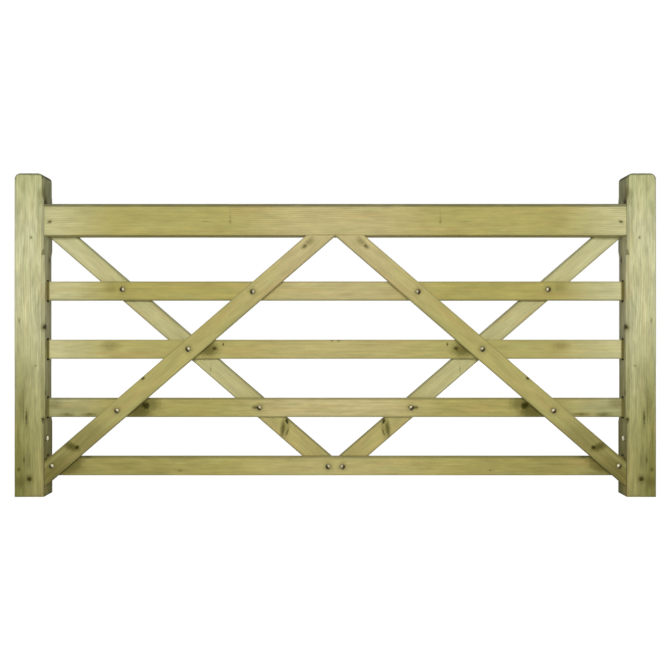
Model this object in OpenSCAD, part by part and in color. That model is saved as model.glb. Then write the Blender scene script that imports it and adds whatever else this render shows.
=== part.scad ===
// Field gate leaf: two stiles, five rails and two crossing pairs of braces.
// X runs along the gate, Y from front to back, Z up, from the middle of the feet.

/* [Gate] */
// Length of the leaf over both stiles
gate_w = 2400; // [1800:10:3600]
// Height of the stiles
gate_h = 1210; // [1100:10:1400]
// Radius of the eased edges of the planed timber
edge_r = 3; // [1:0.5:5]

/* [Stiles] */
// Width of a stile, seen from the front
stile_w = 110; // [95:1:150]
// Depth of a stile, front to back
stile_d = 75; // [75:1:120]
// Radius of the rounded shoulders on top of a stile
shoulder_r = 21; // [6:1:40]
// Leg of the stopped chamfer on the inner edges
chamfer_leg = 10; // [5:0.5:14]
// Leg of the chamfer on the horn above the top rail
horn_chamfer_leg = 7; // [5:0.5:12]
// Length over which a chamfer runs out
chamfer_run = 30; // [10:1:60]
// Distance from the top rail down to the end of the chamfer
chamfer_stop = 44; // [10:1:80]
// Distance from the top rail up to the start of the horn's chamfer
horn_chamfer_stop = 8; // [2:1:20]

/* [Top rail] */
// Height of the top rail
top_rail_h = 118; // [90:1:150]
// Thickness of the top rail
top_rail_t = 62; // [60:1:66]
// Distance from the top of the stiles down to the top rail
top_rail_drop = 113; // [80:1:150]
// Thickness of the top rail's tenons
top_tenon_t = 24; // [16:1:32]
// Height of the shoulder above and below the top rail's tenons
top_tenon_shoulder = 10; // [4:1:20]

/* [Lower rails] */
// Width of a lower rail
rail_w = 72; // [60:1:90]
// Thickness of a lower rail
rail_t = 20; // [16:1:22]
// Height of the middle of the bottom rail
bottom_rail_z = 111; // [90:1:150]
// Gap between the top rail and the second rail
top_gap = 171; // [140:1:200]
// How far the rails lie in front of the middle of the stiles
rail_forward = 2; // [0:0.5:3]
// Length of the tenons in the stiles
tenon_len = 80; // [50:1:85]

/* [Braces] */
// Width of a brace
brace_w = 72; // [60:1:80]
// Thickness of a brace
brace_t = 20; // [16:1:22]
// How far above the underside of the top rail the brace axes end
brace_head_rise = 47; // [46:1:60]
// How far below the middle of the bottom rail the brace axes end
brace_foot_drop = 27; // [15:1:40]
// Length of the stub tenons on the brace heads
stub_len = 20; // [15:1:24]
// Width of the stub tenons on the brace heads
stub_w = 30; // [20:1:34]

/* [Coach bolts] */
// Diameter of the bolts
bolt_d = 8; // [6:1:10]
// Diameter of the domed heads
bolt_head_d = 20.6; // [16:0.1:25]
// Height of the domed heads
bolt_head_h = 4.9; // [3:0.1:6]
// Height of the straight rim under the dome
bolt_rim_h = 0.8; // [0.4:0.1:1.5]
// How much wider the square neck under the head is than the bolt
neck_extra = 0.4; // [0.2:0.1:0.8]
// Length of the square neck under the head
neck_len = 5; // [3:0.5:7]
// Diameter of the washers
washer_d = 24; // [20:1:30]
// Thickness of the washers
washer_t = 1.6; // [1:0.1:2]
// Width of the nuts across flats
nut_flats = 13; // [12:0.5:17]
// Height of the nuts
nut_h = 6.5; // [5:0.5:7]
// Length of bolt past the nut
bolt_tail = 1.4; // [1:0.1:3]
// Height of the bolts through the stiles
stile_bolt_z = 215; // [200:1:240]
// How far the bolts through the stiles sit in front of the middle of the rails
stile_bolt_forward = 9; // [0:0.5:12]

/* [Pegs] */
// Diameter of the pegs in the rail tenons
peg_d = 12; // [8:0.5:16]
// Distance of the pegs from the inner face of the stile
peg_inset = 30; // [20:1:50]
// Spacing of the two pegs in each top rail tenon
peg_spacing = 50; // [30:1:60]
// Diameter of the pegs in the brace heads
brace_peg_d = 8; // [6:0.5:10]
// How far a peg reaches past the tenon that it pins
peg_past = 3; // [2:0.5:4]

/* [Clearances] */
// Clearance on each side of a tenon
tenon_clear = 0.3; // [0.2:0.05:0.6]
// Room past the end of a tenon
tenon_end_room = 2; // [1:0.5:6]
// Gap at a brace end that is cut against another piece
brace_end_gap = 0.3; // [0.2:0.05:0.6]
// Clearance around a bolt in its hole
bolt_clear = 0.4; // [0.2:0.05:0.8]
// Clearance around a bolt in its nut
thread_clear = 0.1; // [0.05:0.05:0.2]
// Clearance around a bolt's square neck
neck_clear = 0.2; // [0.1:0.05:0.4]
// Clearance around a peg in its hole
peg_clear = 0.1; // [0.05:0.05:0.3]
// Clearance around a washer in its sunk seat
seat_clear = 1; // [0.5:0.1:3]

/* [Hidden] */
$fn = 48;
overrun = 5;

wood_colour = [0.73, 0.69, 0.47];
peg_colour = [0.62, 0.55, 0.36];
zinc_colour = [0.70, 0.71, 0.72];

// The stiles' inner faces and the heights of the rails, bottom rail first
inner_x = gate_w / 2 - stile_w;
top_rail_z = gate_h - top_rail_drop - top_rail_h;
top_rail_middle = top_rail_z + top_rail_h / 2;
second_rail_z = top_rail_z - top_gap - rail_w / 2;
top_tenon_straight = top_rail_h - 2 * top_tenon_shoulder - top_tenon_t;
lower_rails = 4;
rail_pitch = (second_rail_z - bottom_rail_z) / (lower_rails - 1);
rail_z = [for (i = [0 : lower_rails - 1]) bottom_rail_z + i * rail_pitch];
bottom = 0;
fourth = 1;
third = 2;
second = 3;

// The layers from front to back: front braces, lower rails, back braces. The top rail has the
// same middle as the lower rails
rail_y = -rail_forward;
rail_front = rail_y - rail_t / 2;
rail_back = rail_y + rail_t / 2;
brace_front = rail_front - brace_t;
brace_back = rail_back + brace_t;
front_brace_y = rail_front - brace_t / 2;
back_brace_y = rail_back + brace_t / 2;
top_rail_back = rail_y + top_rail_t / 2;

// The brace axes, which fall from head to foot over the length of one half
head_z = top_rail_z + brace_head_rise;
foot_z = bottom_rail_z - brace_foot_drop;
brace_angle = atan2(head_z - foot_z, inner_x);
brace_bar_len = inner_x / cos(brace_angle) + 4 * brace_w;

function fall(z) = inner_x * (head_z - z) / (head_z - foot_z);
function front_axis_x(z) = -fall(z);
function back_axis_x(z) = fall(z) - inner_x;

// The stub tenons on the brace heads and the pegs that pin them
stub_t = brace_t / 2;
stub_middle = top_rail_z + stub_len / 2;
front_peg_x = front_axis_x(stub_middle);
back_peg_x = back_axis_x(stub_middle);

// Each bolt's offset, along and up, from where the brace axis crosses the middle of its rail or
// the other brace's axis, as shares of the rail's width
front_bolt_shares = [[bottom, -0.05, 0.05], [fourth, -0.2, -0.13], [second, -0.22, -0.06]];
back_bolt_shares = [[bottom, 0.06, -0.04], [fourth, -0.01, 0], [second, -0.11, 0.08]];
crossing_bolt_shares = [[third, -0.09, -0.03]];
front_bolt_spots = [for (s = front_bolt_shares)
    [s[0], front_axis_x(rail_z[s[0]]) + s[1] * rail_w, rail_z[s[0]] + s[2] * rail_w]];
back_bolt_spots = [for (s = back_bolt_shares)
    [s[0], back_axis_x(rail_z[s[0]]) + s[1] * rail_w, rail_z[s[0]] + s[2] * rail_w]];
crossing_bolt_spots = [for (s = crossing_bolt_shares)
    [s[0], s[1] * rail_w - inner_x / 2, s[2] * rail_w + (head_z + foot_z) / 2]];
all_bolt_spots = concat(front_bolt_spots, back_bolt_spots, crossing_bolt_spots);

// The sunk seat of the bolts through the stiles
stile_seat_depth = washer_t + nut_h + 2 * bolt_tail;
stile_grip = stile_w - stile_seat_depth;
stile_bolt_y = rail_y - stile_bolt_forward;

// The dome of a bolt head is a cap of this ball
dome_h = bolt_head_h - bolt_rim_h;
dome_r = (dome_h * dome_h + bolt_head_d * bolt_head_d / 4) / (2 * dome_h);
bolt_hole_d = bolt_d + 2 * bolt_clear;
neck_w = bolt_d + neck_extra;
nut_d = nut_flats / cos(30);

module both_sides() {
    children();
    mirror([1, 0, 0])
        children();
}

// A rectangle with round corners
module rounded_rect(w, h, r) {
    square([w - 2 * r, h], center = true);
    square([w, h - 2 * r], center = true);
    for (x = [-1, 1], y = [-1, 1])
        translate([x * (w / 2 - r), y * (h / 2 - r)])
            circle(r = r);
}

// A planed board along X, standing on edge
module board(len, w, t) {
    rotate([0, 90, 0])
        linear_extrude(len, center = true)
            rounded_rect(w, t, edge_r);
}

// A hole along Y, from one depth to another
module hole_y(x, z, d, from_y, to_y) {
    translate([x, from_y, z])
        rotate([-90, 0, 0])
            cylinder(d = d, h = to_y - from_y);
}

// An upright slot along X with round ends, as a slot cutter leaves it
module slot(straight, w, len) {
    rotate([0, 90, 0])
        linear_extrude(len) {
            square([straight, w], center = true);
            for (s = [-1, 1])
                translate([s * straight / 2, 0])
                    circle(d = w);
        }
}

// A round-ended mortise into a stile, from the stile's inner face towards -X
module mortise(y, z, straight, w) {
    depth = tenon_len + tenon_end_room;
    translate([-inner_x - depth, y, z])
        slot(straight, w, depth + overrun);
}

// The front outline of a stile, from its foot to its round shoulders
module stile_outline() {
    translate([-stile_w / 2, 0])
        square([stile_w, gate_h - shoulder_r]);
    translate([shoulder_r - stile_w / 2, 0])
        square([stile_w - 2 * shoulder_r, gate_h]);
    for (s = [-1, 1])
        translate([s * (stile_w / 2 - shoulder_r), gate_h - shoulder_r])
            circle(r = shoulder_r);
}

module stile_blank() {
    intersection() {
        linear_extrude(gate_h)
            rounded_rect(stile_w, stile_d, edge_r);
        rotate([90, 0, 0])
            linear_extrude(stile_d + 2 * overrun, center = true)
                stile_outline();
    }
}

// What a chamfer takes off one inner edge: side is -1 in front and 1 at the back
module edge_chamfer(side, low, high, leg, high_run) {
    deep = leg / sqrt(2);
    translate([stile_w / 2, side * stile_d / 2, 0])
        rotate([90, 0, side * 45])
            linear_extrude(4 * leg, center = true)
                polygon([
                    [0, low - chamfer_run], [-deep, low], [-deep, high], [0, high + high_run],
                    [overrun, high + high_run], [overrun, low - chamfer_run]
                ]);
}

module stile_chamfers() {
    low = rail_z[fourth] - rail_w / 2;
    high = top_rail_z - chamfer_stop - chamfer_run;
    horn_low = top_rail_z + top_rail_h + horn_chamfer_stop + chamfer_run;
    for (side = [-1, 1]) {
        edge_chamfer(side, low, high, chamfer_leg, chamfer_run);
        edge_chamfer(side, horn_low, gate_h + overrun, horn_chamfer_leg, 0);
    }
}

module stile_mortises() {
    for (z = rail_z)
        mortise(rail_y, z, rail_w - 2 * edge_r, rail_t + 2 * tenon_clear);
    mortise(rail_y, top_rail_middle, top_tenon_straight, top_tenon_t + 2 * tenon_clear);
}

// The places of the pegs in one stile, each with the front of the tenon that it pins
function tenon_peg_places() = concat(
    [for (z = rail_z) [z, rail_front]],
    [for (s = [-1, 1]) [top_rail_middle + s * peg_spacing / 2, rail_y - top_tenon_t / 2]]
);

module tenon_peg_set(d, past, back_y) {
    for (p = tenon_peg_places())
        hole_y(-inner_x - peg_inset, p[0], d, p[1] - past, back_y);
}

// The hole of the bolt through a stile, with its square neck and its sunk seat
module stile_bolt_hole() {
    neck = neck_w + 2 * neck_clear;
    translate([-inner_x, stile_bolt_y, stile_bolt_z])
        rotate([0, -90, 0]) {
            translate([0, 0, -overrun])
                cylinder(d = bolt_hole_d, h = stile_w + 2 * overrun);
            translate([-neck / 2, -neck / 2, -overrun])
                cube([neck, neck, overrun + neck_len + neck_clear]);
            translate([0, 0, stile_grip])
                cylinder(d = washer_d + 2 * seat_clear, h = stile_seat_depth + overrun);
        }
}

module stile() {
    color(wood_colour)
        difference() {
            translate([-inner_x - stile_w / 2, 0, 0])
                difference() {
                    stile_blank();
                    stile_chamfers();
                }
            stile_mortises();
            tenon_peg_set(peg_d + 2 * peg_clear, peg_past + peg_clear, stile_d / 2 + overrun);
            stile_bolt_hole();
        }
}

module left_stile() {
    stile();
}

module right_stile() {
    mirror([1, 0, 0])
        stile();
}

// A bar along a left-hand brace's axis: slope is 1 for the front brace and -1 for the back brace
module brace_bar(slope, y, w, t) {
    translate([-inner_x / 2, y, (head_z + foot_z) / 2])
        rotate([0, -slope * brace_angle, 0])
            cube([brace_bar_len, t, w], center = true);
}

module brace_board(slope, y) {
    translate([-inner_x / 2, y, (head_z + foot_z) / 2])
        rotate([0, -slope * brace_angle, 0])
            board(brace_bar_len, brace_w, brace_t);
}

// All of one half of the gate between two heights, short of the stile and of the middle
module half_space(low, high, gap) {
    translate([gap - inner_x, -stile_d / 2, low])
        cube([inner_x - 2 * gap, stile_d, high - low]);
}

// A brace with its stub tenon, which is half as thick and lies at the middle of its thickness
module brace_blank(slope, y, low) {
    intersection() {
        brace_board(slope, y);
        half_space(low, top_rail_z, brace_end_gap);
    }
    intersection() {
        brace_bar(slope, y, stub_w, stub_t);
        half_space(top_rail_z - stub_len, top_rail_z + stub_len - tenon_clear, brace_end_gap);
    }
}

// The pocket for a brace's stub tenon in the underside of the top rail
module brace_pocket(slope, y) {
    intersection() {
        brace_bar(slope, y, stub_w + 2 * tenon_clear, stub_t + 2 * tenon_clear);
        half_space(top_rail_z - overrun, top_rail_z + stub_len, 0);
    }
}

module bolt_holes(bolts) {
    for (b = bolts)
        hole_y(b[1], b[2], bolt_hole_d, -stile_d, stile_d);
}

// The square recess that stops a bolt from turning, behind the face that its head sits on
module neck_holes(bolts, face_y) {
    neck = neck_w + 2 * neck_clear;
    for (b = bolts)
        translate([b[1] - neck / 2, face_y - overrun, b[2] - neck / 2])
            cube([neck, overrun + neck_len + neck_clear, neck]);
}

module front_brace_peg(d, past, back_y) {
    hole_y(front_peg_x, stub_middle, d, front_brace_y - stub_t / 2 - past, back_y);
}

module back_brace_peg(d, past, back_y) {
    hole_y(back_peg_x, stub_middle, d, back_brace_y - stub_t / 2 - past, back_y);
}

module front_brace() {
    color(wood_colour)
        difference() {
            brace_blank(1, front_brace_y, 0);
            bolt_holes(concat(front_bolt_spots, crossing_bolt_spots));
            neck_holes(concat(front_bolt_spots, crossing_bolt_spots), brace_front);
            front_brace_peg(brace_peg_d + 2 * peg_clear, peg_past, stile_d);
        }
}

module back_brace() {
    color(wood_colour)
        difference() {
            brace_blank(-1, back_brace_y, rail_z[bottom] - rail_w / 2);
            bolt_holes(concat(back_bolt_spots, crossing_bolt_spots));
            back_brace_peg(brace_peg_d + 2 * peg_clear, peg_past, stile_d);
        }
}

module left_front_brace() {
    front_brace();
}

module right_front_brace() {
    mirror([1, 0, 0])
        front_brace();
}

module left_back_brace() {
    back_brace();
}

module right_back_brace() {
    mirror([1, 0, 0])
        back_brace();
}

module top_rail() {
    tenon_end = inner_x + tenon_len;
    hole_d = brace_peg_d + 2 * peg_clear;
    hole_back = top_rail_back + overrun;
    color(wood_colour)
        difference() {
            union() {
                translate([0, rail_y, top_rail_middle])
                    board(2 * inner_x, top_rail_h, top_rail_t);
                translate([-tenon_end, rail_y, top_rail_middle])
                    slot(top_tenon_straight, top_tenon_t, 2 * tenon_end);
            }
            both_sides() {
                brace_pocket(1, front_brace_y);
                brace_pocket(-1, back_brace_y);
                front_brace_peg(hole_d, peg_past + peg_clear, hole_back);
                back_brace_peg(hole_d, peg_past + peg_clear, hole_back);
                tenon_peg_set(peg_d + 2 * peg_clear, peg_past, stile_d);
            }
        }
}

// One lower rail, with the holes of the bolts that cross it
module lower_rail(i) {
    heads_here = [for (b = back_bolt_spots) if (b[0] == i) b];
    color(wood_colour)
        difference() {
            translate([0, rail_y, rail_z[i]])
                board(2 * (inner_x + tenon_len), rail_w, rail_t);
            both_sides() {
                bolt_holes([for (b = all_bolt_spots) if (b[0] == i) b]);
                neck_holes(heads_here, rail_front);
                tenon_peg_set(peg_d + 2 * peg_clear, peg_past, stile_d);
            }
        }
}

module second_rail() {
    lower_rail(second);
}

module third_rail() {
    lower_rail(third);
}

module fourth_rail() {
    lower_rail(fourth);
}

module bottom_rail() {
    lower_rail(bottom);
}

// Half of a bolt head's outline: a domed cap on a straight rim
module bolt_head_outline() {
    intersection() {
        translate([0, dome_r - bolt_head_h])
            circle(r = dome_r);
        translate([0, -bolt_head_h])
            square([bolt_head_d / 2, bolt_head_h]);
    }
}

// A coach bolt along +Z, with the underside of its head at zero
module coach_bolt(grip) {
    shank = grip + washer_t + nut_h + bolt_tail;
    point = bolt_tail / 2;
    rotate_extrude()
        bolt_head_outline();
    translate([-neck_w / 2, -neck_w / 2, 0])
        cube([neck_w, neck_w, neck_len]);
    cylinder(d = bolt_d, h = shank - point);
    translate([0, 0, shank - point])
        cylinder(d1 = bolt_d, d2 = bolt_d - 2 * point, h = point);
}

module washer() {
    difference() {
        cylinder(d = washer_d, h = washer_t);
        translate([0, 0, -overrun])
            cylinder(d = bolt_hole_d, h = washer_t + 2 * overrun);
    }
}

module nut() {
    difference() {
        intersection() {
            cylinder(d = nut_d, h = nut_h, $fn = 6);
            cylinder(d1 = nut_flats + 2 * nut_h, d2 = nut_flats, h = nut_h);
        }
        translate([0, 0, -overrun])
            cylinder(d = bolt_d + 2 * thread_clear, h = nut_h + 2 * overrun);
    }
}

// Puts one fastener at each bolt's place on both halves, along +Y from a given face
module at_bolts(bolts, face_y) {
    both_sides()
        for (b = bolts)
            translate([b[1], face_y, b[2]])
                rotate([-90, 0, 0])
                    children();
}

// Puts one fastener in each stile, along the bolt from a given depth behind the inner face
module at_stile_bolts(depth) {
    both_sides()
        translate([-inner_x - depth, stile_bolt_y, stile_bolt_z])
            rotate([0, -90, 0])
                children();
}

module front_brace_bolts() {
    color(zinc_colour)
        at_bolts(front_bolt_spots, brace_front)
            coach_bolt(rail_back - brace_front);
}

module front_brace_washers() {
    color(zinc_colour)
        at_bolts(front_bolt_spots, rail_back)
            washer();
}

module front_brace_nuts() {
    color(zinc_colour)
        at_bolts(front_bolt_spots, rail_back + washer_t)
            nut();
}

module crossing_bolts() {
    color(zinc_colour)
        at_bolts(crossing_bolt_spots, brace_front)
            coach_bolt(brace_back - brace_front);
}

module crossing_washers() {
    color(zinc_colour)
        at_bolts(crossing_bolt_spots, brace_back)
            washer();
}

module crossing_nuts() {
    color(zinc_colour)
        at_bolts(crossing_bolt_spots, brace_back + washer_t)
            nut();
}

module back_brace_bolts() {
    color(zinc_colour)
        at_bolts(back_bolt_spots, rail_front)
            coach_bolt(brace_back - rail_front);
}

module back_brace_washers() {
    color(zinc_colour)
        at_bolts(back_bolt_spots, brace_back)
            washer();
}

module back_brace_nuts() {
    color(zinc_colour)
        at_bolts(back_bolt_spots, brace_back + washer_t)
            nut();
}

module stile_bolts() {
    color(zinc_colour)
        at_stile_bolts(0)
            coach_bolt(stile_grip);
}

module stile_bolt_washers() {
    color(zinc_colour)
        at_stile_bolts(stile_grip)
            washer();
}

module stile_bolt_nuts() {
    color(zinc_colour)
        at_stile_bolts(stile_grip + washer_t)
            nut();
}

module left_tenon_pegs() {
    color(peg_colour)
        tenon_peg_set(peg_d, peg_past, stile_d / 2);
}

module right_tenon_pegs() {
    color(peg_colour)
        mirror([1, 0, 0])
            tenon_peg_set(peg_d, peg_past, stile_d / 2);
}

module front_brace_pegs() {
    color(peg_colour)
        both_sides()
            front_brace_peg(brace_peg_d, peg_past, top_rail_back);
}

module back_brace_pegs() {
    color(peg_colour)
        both_sides()
            back_brace_peg(brace_peg_d, peg_past, top_rail_back);
}

left_stile();
right_stile();
top_rail();
second_rail();
third_rail();
fourth_rail();
bottom_rail();
left_front_brace();
right_front_brace();
left_back_brace();
right_back_brace();
front_brace_bolts();
front_brace_washers();
front_brace_nuts();
crossing_bolts();
crossing_washers();
crossing_nuts();
back_brace_bolts();
back_brace_washers();
back_brace_nuts();
stile_bolts();
stile_bolt_washers();
stile_bolt_nuts();
left_tenon_pegs();
right_tenon_pegs();
front_brace_pegs();
back_brace_pegs();
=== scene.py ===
"""Looks of the field gate: detailed timbers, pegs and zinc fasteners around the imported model."""
import math
from collections import namedtuple

import bmesh
import bpy
import numpy as np
from mathutils import Matrix, Vector, noise

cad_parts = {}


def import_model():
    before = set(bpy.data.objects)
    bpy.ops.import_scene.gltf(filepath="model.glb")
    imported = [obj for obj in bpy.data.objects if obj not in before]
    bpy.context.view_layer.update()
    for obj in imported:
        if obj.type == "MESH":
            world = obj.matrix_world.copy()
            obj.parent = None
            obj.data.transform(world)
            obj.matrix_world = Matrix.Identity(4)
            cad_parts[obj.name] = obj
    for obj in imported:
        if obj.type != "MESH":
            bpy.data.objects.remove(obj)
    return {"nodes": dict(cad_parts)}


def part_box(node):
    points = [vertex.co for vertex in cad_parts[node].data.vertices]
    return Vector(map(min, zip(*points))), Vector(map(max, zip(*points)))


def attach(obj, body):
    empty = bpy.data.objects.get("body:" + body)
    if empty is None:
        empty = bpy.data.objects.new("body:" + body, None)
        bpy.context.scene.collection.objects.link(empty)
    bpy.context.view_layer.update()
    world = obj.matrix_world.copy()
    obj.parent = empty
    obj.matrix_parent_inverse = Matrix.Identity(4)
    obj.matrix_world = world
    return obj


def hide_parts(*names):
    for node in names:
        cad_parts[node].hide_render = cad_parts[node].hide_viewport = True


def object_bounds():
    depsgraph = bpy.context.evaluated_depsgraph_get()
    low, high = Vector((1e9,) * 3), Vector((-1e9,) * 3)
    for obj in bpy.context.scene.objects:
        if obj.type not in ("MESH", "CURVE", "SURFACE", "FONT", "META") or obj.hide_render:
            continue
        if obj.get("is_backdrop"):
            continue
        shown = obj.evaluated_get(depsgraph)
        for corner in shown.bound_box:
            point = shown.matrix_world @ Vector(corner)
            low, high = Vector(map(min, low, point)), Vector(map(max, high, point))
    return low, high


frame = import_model()
cad_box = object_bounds()

# The camera, found from the photograph's vanishing point and scale
PHOTO_SIDE = 665
VANISHING_PX = Vector((335.3, 336.0))
FOOT_PX = 497.0
PIXEL = 0.003738
EYE_DISTANCE = 2.384
SENSOR_MM = 36.0

STILE_LOW, STILE_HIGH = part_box("left_stile")
EYE = Vector((0, STILE_LOW.y - EYE_DISTANCE, (FOOT_PX - VANISHING_PX.y) * PIXEL))

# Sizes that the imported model's boxes don't give, in metres
EDGE_R = 0.003
SHOULDER_R = 0.021
CHAMFER_LEG = 0.010
HORN_CHAMFER_LEG = 0.007
CHAMFER_RUN = 0.030
CHAMFER_STOP = 0.044
HORN_CHAMFER_STOP = 0.008
TOP_TENON_T = 0.024
TOP_TENON_SHOULDER = 0.010
TENON_CLEAR = 0.0003
MORTISE_DEPTH = 0.082
STUB_W = 0.030
STUB_T = 0.010
STUB_LEN = 0.020
BOLT_D = 0.008
BOLT_CLEAR = 0.0004
HEAD_H = 0.0049
HEAD_RIM_H = 0.0008
NECK_LEN = 0.005
NECK_W = 0.0084
NECK_CLEAR = 0.0002
SEAT_CLEAR = 0.001
PEG_CLEAR = 0.0001
SEAT_TOL = 0.001
OVERRUN = 0.005

# Turned pieces: lengths in metres, counts of steps and sides, shares of a radius, turns in radians
THREAD_PITCH = 0.00125
THREAD_DEPTH = 0.0006
THREAD_LEN = 0.014
THREAD_STEPS = 6
DOME_STEPS = 10
RIM_LIP = 0.0002
HEAD_CHAMFER = 0.0003
TIP_LEN = 0.0008
TIP_CHAMFER = 0.0012
WASHER_LIP = 0.0003
BORE_LIP = 0.0006
BORE_CLEAR = 0.0005
NUT_LEVELS = (0, 0.0003, 0.0007, 0.0012)
NUT_FACE = 0.97
NUT_SLOPE = 1.7
PEG_FACET = 0.03
PEG_OVAL = 0.015
BOLT_TURN = 1.3
NUT_TURN = 0.35
TURNED_SIDES = 40
RING_SIDES = 48

# The mesh: spacing of its lines, and how the planed faces depart from flat
ARC_STEPS = 4
RING_STEP = 0.012
ACROSS_STEP = 0.012
FINE_STEP = 0.003
FINE_REACH = 0.016
ARRIS_LINES = (0.002, 0.005)
SWELL = 0.00025
FIBRE_RELIEF = 0.00008
ARRIS_WEAR = 0.0012
KNOT_RISE = 0.0006
PRESS_DEPTH = 0.0005
CHECK_HALF_W = 0.0006
LINE_GAP = CHECK_HALF_W * 0.8
FLAT_FACE = 0.9
SHARP_DEG = 32

# The surface: dark arrises, partly stain and partly painted shade, sawn faces, the painted shade on
# a stile's sides, depth of knots and of the stain and painted contact shade round heads, bumps and
# gloss
ARRIS_SOLID = 0.5
FAR_END = 1.0
END_TURN = (0.03, 0.40)
# Painted shade on a stile's sides: which faces get it, and how strong at the front, the back and
# the horn
SIDE_SHADE_TURN = (0.5, 0.7)
SIDE_SHADE_FRONT = 0.02
SIDE_SHADE_BACK = 0.42
SIDE_HORN = 0.45
SAWN_STILE = (0.93, 0.99)
SAWN_BRACE = (0.50, 0.60)
KNOT_DEEP = 0.030
# The stain and painted contact shade round heads and washers: reach, depth and darkness
STAIN_SHADE_REACH = 1.05
STAIN_SHADE_DEEP = 0.012
STAIN_SHADE_CORE = 0.45
STAIN_SHADE_HALO = 0.30
WOBBLE = 1.2
SPANGLE_SCALE = 900.0
WOOD_BUMP = (0.0006, 0.45)
ZINC_BUMP = (0.0001, 0.25)
PEG_BUMP = (0.0004, 0.5)
WOOD_GLOSS = 0.06
ZINC_GLOSS = 0.20

Knot = namedtuple("Knot", "px py radius stretch core halo angle face", defaults=(None, "front"))
Check = namedtuple("Check", "across low high depth")
Spec = namedtuple(
    "Spec", "seed pith ring ends green upper lower knots mid pale damp joint mottle checks",
    defaults=(0.0, 0.0, 0.0, 0.0, 1.0, ()),
)

# The boards as the left half of the photograph shows them; the right half mirrors it.
# ends, mid and pale say how much a board pales near the stiles, at the middle and all along it,
# green how green it is, the next two how much painted shade darkens it near the feet and how much
# painted shadow darkens it where it enters a stile, and upper and lower how dark those edges (on a
# stile, inner and outer) are, partly stain and partly painted shade, and how far in
SPECS = {}
SPECS["left_stile"] = Spec(
    seed=1.7, pith=(0.15, 0.05), ring=0.0055, ends=1, green=1,
    damp=1, upper=(0.35, 0.0115), lower=(0.35, 0.006), mottle=1.9,
    knots=(
        Knot(45.7, 202.6, 0.009, 1.5, 0.95, 0.8, face="inner"),
        Knot(44.6, 195, 0.005, 4, 0.1, 0.6, face="inner"),
        Knot(20, 482, 0.01, 1.3, 0.1, 0.6),
        Knot(22, 405, 0.0075, 4.5, 0.05, 0.35),
        Knot(29.2, 479, 0.009, 1.2, 0.9, 0.55),
        Knot(26.3, 417, 0.0045, 7, 0.65, 0.35),
        Knot(43.6, 327, 0.0065, 1.5, 0.9, 0.5),
        Knot(31, 237.3, 0.0034, 1.6, 0.55, 0.2),
        Knot(19.2, 320.5, 0.003, 4, 0.4, 0.15),
        Knot(35.6, 365.7, 0.004, 0.6, 0.3, 0.2),
        Knot(24, 460, 0.0035, 3.5, 0.45, 0.25),
        Knot(18.8, 469.6, 0.005, 1.4, 0.5, 0.35),
        Knot(42.5, 419.8, 0.0036, 2.2, 0.7, 0.3),
        Knot(49.3, 260.5, 0.005, 2.2, 0.9, 0.3, face="inner"),
        Knot(45.5, 393, 0.004, 3, 0.6, 0.25, face="inner"),
        Knot(30, 262, 0.008, 1.4, 0.9, 0.5, face="back"),
        Knot(22, 300, 0.004, 4, 0.3, 0.3, face="back"),
        Knot(25, 372, 0.006, 1.5, 0.8, 0.45, face="back"),
        Knot(34, 446, 0.0085, 1.3, 0.9, 0.55, face="back"),
    ),
    checks=(Check(-0.021, 0.26, 0.4, 0.003), Check(0.014, 0.03, 0.17, 0.002)),
)
SPECS["left_front_brace"] = Spec(
    seed=5.3, pith=(0.11, 0.045), ring=0.005, ends=0.25, mid=0.95, pale=0.18, green=0.1,
    damp=1.2, upper=(0.22, 0.006), lower=(0.22, 0.008),
    knots=(
        Knot(77, 447.6, 0.0075, 1.2, 0.97, 0.6),
        Knot(71.5, 446.5, 0.0095, 2.2, 0.35, 0.85, angle=158),
        Knot(87, 438, 0.026, 1.6, 0, 0.35),
        Knot(143, 378.3, 0.0045, 1.3, 0.9, 0.35),
        Knot(304.6, 246.3, 0.0056, 1.5, 0.45, 0.5),
        Knot(309.5, 241.5, 0.008, 1.6, 0.1, 0.4),
    ),
)
SPECS["left_back_brace"] = Spec(
    seed=9.1, pith=(-0.12, 0.03), ring=0.0054, ends=0.3, mid=0.35, pale=0.68, green=0.4,
    damp=1, upper=(0.5, 0.0085), lower=(0.45, 0.0075),
    knots=(
        Knot(283, 428.5, 0.0058, 3.8, 0.35, 0.75, angle=84),
        Knot(286, 427, 0.008, 3.2, 0, 0.4, angle=80),
        Knot(287.2, 432, 0.003, 5, 0.55, 0.45, angle=70),
        Knot(287, 421, 0.0056, 2.2, 0.95, 0.45, angle=92),
        Knot(210.7, 369, 0.0018, 9, 0.25, 0.12, angle=88),
    ),
)
SPECS["top_rail"] = Spec(
    seed=13.9, pith=(0.19, 0.07), ring=0.0058, ends=0.75, mid=0.85, pale=0.08, green=0.3,
    upper=(0.85, 0.015), lower=(0.1, 0.006),
    knots=(
        Knot(49.6, 221.7, 0.0045, 1.5, 0.7, 0.3, angle=25),
        Knot(230.3, 221.6, 0.0032, 2.2, 0.32, 0.15, angle=90),
        Knot(230.3, 217, 0.0022, 11, 0.14, 0.05, angle=90),
        Knot(205, 221.5, 0.0025, 9, 0.16, 0.08),
        Knot(118, 215, 0.0075, 1.5, 0.85, 0.45, face="back"),
        Knot(196, 226, 0.005, 1.8, 0.7, 0.35, face="back"),
        Knot(276, 217, 0.009, 1.3, 0.9, 0.5, face="back"),
    ),
)
SPECS["second_rail"] = Spec(
    seed=17.2, pith=(-0.12, 0.04), ring=0.0052, ends=0.95, mid=0.85, green=0.3,
    joint=1, upper=(0.25, 0.008), lower=(0.4, 0.008),
    knots=(Knot(111, 288, 0.011, 1.6, 0.05, 0.3),),
)
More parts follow.
